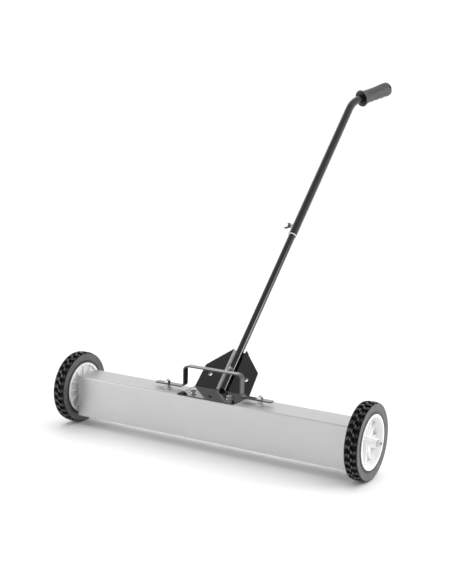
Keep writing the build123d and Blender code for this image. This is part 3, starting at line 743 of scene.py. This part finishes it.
def grip_radius(z, angle):
    """Radius of the grip's body; angle 0 faces the inside of the bend, where the fingers go."""
    share = z / GRIP_LENGTH
    waist = 0.6 * MM * math.sin(math.pi * min(1.0, share / 0.7))
    radius = GRIP_RADIUS + 0.3 * MM - waist + 1.0 * MM * (1 - ease((share - 0.08) / 0.14))
    radius += GRIP_HEEL * ease((share - 0.58) / 0.30) * (0.5 - 0.5 * math.cos(angle)) ** 1.5
    cosine = math.cos(angle)
    if cosine > 0.2:
        for index in range(FINGER_COUNT):
            along = z - FINGER_FIRST - FINGER_PITCH * index
            if abs(along) < FINGER_RADIUS:
                wall = GRIP_RADIUS + FINGER_RADIUS - FINGER_DEPTH
                wall -= math.sqrt(FINGER_RADIUS ** 2 - along ** 2)
                radius = min(radius, wall / cosine)
    return radius


def grip_ring(z, shrink):
    ring = []
    for index in range(GRIP_SEGMENTS):
        angle = 2 * math.pi * index / GRIP_SEGMENTS
        reach = grip_radius(z, angle) - shrink
        ring.append(Vector((reach * math.cos(angle), reach * math.sin(angle), z)))
    return ring


def slot_cutter(place):
    """Rounded slot through the grip's end, across the plane of the bend."""
    cutter = bmesh.new()
    outline = []
    half = (SLOT_LENGTH - SLOT_WIDTH) / 2
    for end in (1, -1):
        for step in range(SLOT_STEPS + 1):
            angle = math.pi * (step / SLOT_STEPS - 0.5)
            x = end * (half + SLOT_WIDTH / 2 * math.cos(angle))
            outline.append((x, end * SLOT_WIDTH / 2 * math.sin(angle)))
    rings = []
    for y in (-2 * GRIP_RADIUS, 2 * GRIP_RADIUS):
        rings.append([Vector((x, y, GRIP_LENGTH - SLOT_INSET + z)) for x, z in outline])
    add_rings(cutter, rings, close_start=True, close_end=True)
    bmesh.ops.recalc_face_normals(cutter, faces=cutter.faces)
    cutter.transform(place)
    data = bpy.data.meshes.new("slot_cutter")
    cutter.to_mesh(data)
    cutter.free()
    made = bpy.data.objects.new("slot_cutter", data)
    bpy.context.scene.collection.objects.link(made)
    return made


def cut(piece, cutter, sharp):
    """Takes the cutter out of the piece for good."""
    modifier = piece.modifiers.new("cut", "BOOLEAN")
    modifier.operation = "DIFFERENCE"
    modifier.solver = "EXACT"
    modifier.object = cutter
    shown = piece.evaluated_get(bpy.context.evaluated_depsgraph_get())
    data = bpy.data.meshes.new_from_object(shown)
    piece.modifiers.clear()
    old = piece.data
    piece.data = data
    bpy.data.meshes.remove(old)
    data.shade_smooth()
    data.set_sharp_from_angle(angle=math.radians(sharp))
    data.name = piece.name
    spent = cutter.data
    bpy.data.objects.remove(cutter)
    bpy.data.meshes.remove(spent)


def grip():
    """Moulded grip: funnel collar, finger grooves, heel and hanging slot."""
    across = Vector((math.sin(GRIP_TURN), 0, 0)) - POLE_FRONT * math.cos(GRIP_TURN)
    along = POLE_UP * math.cos(BEND_ANGLE) + across * math.sin(BEND_ANGLE)
    inner = across * math.cos(BEND_ANGLE) - POLE_UP * math.sin(BEND_ANGLE)
    tangent = BEND_RADIUS * math.tan(BEND_ANGLE / 2)
    corner = POLE_LINE + POLE_UP * (BEND_START_S - POLE_LINE_S + tangent)
    place = plane_at(corner + along * (tangent + GRIP_GAP), along, inner)
    rings = [circle(r * MM, z * MM, GRIP_SEGMENTS) for r, z in COLLAR_PROFILE]
    start = COLLAR_PROFILE[-1][1] * MM + GRIP_STEP
    straight = GRIP_LENGTH - END_ROUNDING
    steps = round((straight - start) / GRIP_STEP)
    rings += [grip_ring(start + (straight - start) * index / steps, 0) for index in range(steps + 1)]
    for index in range(1, END_STEPS + 1):
        turn = math.pi / 2 * index / (END_STEPS + 0.5)
        z = straight + END_ROUNDING * math.sin(turn)
        rings.append(grip_ring(z, END_ROUNDING * (1 - math.cos(turn))))
    mesh = bmesh.new()
    add_rings(mesh, rings, close_start=True, close_end=True)
    piece = to_object(
        mesh, "moulded_grip", place, "pole_upper", "grip_rubber", stands_for=("grip",), sharp=50.0
    )
    cut(piece, slot_cutter(place), 50.0)


lift_studs()
coil_springs()
axle_bolt("left", -1)
axle_bolt("right", 1)
bracket_bolts()
pole_bolt()
# Light strip on the left channel wall only: a painted highlight
painted_highlight_strip()
grip()


# ---------------------------------------------------------------- stage, light, camera

FLOOR_REACH = 60.0
# Strength of the sky in front and behind, and the y of the ramp between them
SKY_FRONT = 0.42
SKY_BEHIND = 1.03
SKY_RAMP = (-0.25, 0.45)
# Strength of the light from above, its angle across and its turns in degrees
OVERHEAD = 1.4
OVERHEAD_SPREAD = 100.0
OVERHEAD_TILT = (-18.0, 8.0, 0.0)


def floor():
    """Wide pale floor under the tyres."""
    data = bpy.data.meshes.new("studio_floor")
    signs = ((-1, -1), (1, -1), (1, 1), (-1, 1))
    corners = [(FLOOR_REACH * x, FLOOR_REACH * y, FLOOR_Z) for x, y in signs]
    data.from_pydata(corners, [], [(0, 1, 2, 3)])
    made = bpy.data.objects.new("studio_floor", data)
    bpy.context.scene.collection.objects.link(made)
    pale = new_material("pale_floor", grey(0.94), roughness=0.7, specular=0.2)
    tint(pale, noise(pale, 2.0, 3.0), grey(0.935), grey(0.945))
    data.materials.append(pale)


def world():
    """White studio: bright behind the object, dimmer above and in front, white to the camera."""
    made = bpy.data.worlds.new("studio")
    made.use_nodes = True
    nodes = made.node_tree.nodes
    links = made.node_tree.links
    nodes["Background"].inputs["Color"].default_value = (1.0, 1.0, 1.0, 1.0)
    place = nodes.new("ShaderNodeTexCoord")
    apart = nodes.new("ShaderNodeSeparateXYZ")
    links.new(place.outputs["Generated"], apart.inputs["Vector"])
    behind = nodes.new("ShaderNodeMapRange")
    behind.interpolation_type = "SMOOTHSTEP"
    behind.inputs["From Min"].default_value = SKY_RAMP[0]
    behind.inputs["From Max"].default_value = SKY_RAMP[1]
    behind.inputs["To Min"].default_value = SKY_FRONT
    behind.inputs["To Max"].default_value = SKY_BEHIND
    links.new(apart.outputs["Y"], behind.inputs["Value"])
    seen = nodes.new("ShaderNodeLightPath")
    choice = nodes.new("ShaderNodeMix")
    links.new(seen.outputs["Is Camera Ray"], choice.inputs["Factor"])
    links.new(behind.outputs["Result"], choice.inputs["A"])
    choice.inputs["B"].default_value = SKY_BEHIND
    links.new(choice.outputs["Result"], nodes["Background"].inputs["Strength"])
    bpy.context.scene.world = made


def sun():
    """Very soft light from above that gives the whole floor the same white."""
    data = bpy.data.lights.new("overhead", "SUN")
    data.energy = OVERHEAD
    data.angle = math.radians(OVERHEAD_SPREAD)
    made = bpy.data.objects.new("overhead", data)
    bpy.context.scene.collection.objects.link(made)
    made.rotation_euler = [math.radians(angle) for angle in OVERHEAD_TILT]
    made.visible_glossy = False


def area_light(name, place, target, size, watts):
    data = bpy.data.lights.new(name, "AREA")
    data.shape = "RECTANGLE"
    data.size, data.size_y = size
    data.energy = watts
    made = bpy.data.objects.new(name, data)
    bpy.context.scene.collection.objects.link(made)
    made.location = place
    made.rotation_mode = "QUATERNION"
    made.rotation_quaternion = (Vector(target) - Vector(place)).to_track_quat("-Z", "Y")
    made.visible_camera = False


def camera():
    turn, rise, roll = map(math.radians, (CAMERA_AZIMUTH, CAMERA_ELEVATION, CAMERA_ROLL))
    back = Vector((math.sin(turn) * math.cos(rise), -math.cos(turn) * math.cos(rise), math.sin(rise)))
    level = Vector((math.cos(turn), math.sin(turn), 0))
    upright = back.cross(level)
    right = level * math.cos(roll) + upright * math.sin(roll)
    up = back.cross(right)
    data = bpy.data.cameras.new("camera")
    data.sensor_fit = "AUTO"
    data.sensor_width = SENSOR_WIDTH
    data.lens = CAMERA_LENS
    data.clip_end = CAMERA_REACH
    made = bpy.data.objects.new("camera", data)
    bpy.context.scene.collection.objects.link(made)
    place = right * CAMERA_RIGHT + up * CAMERA_UP + back * CAMERA_DISTANCE
    place.z += FLOOR_Z
    made.matrix_world = Matrix.Translation(place) @ Matrix((right, up, back)).transposed().to_4x4()
    bpy.context.scene.camera = made


floor()
world()
sun()
area_light("side_softbox", (2.75, 0.95, 0.9), (0.0, 0.2, 0.3), (0.8, 1.8), 34.0)
area_light("left_softbox", (-2.3, -1.7, 1.1), (0.0, 0.1, 0.1), (1.4, 1.6), 30.0)
camera()
bpy.context.scene.view_settings.view_transform = "Standard"
bpy.context.scene.view_settings.look = "None"
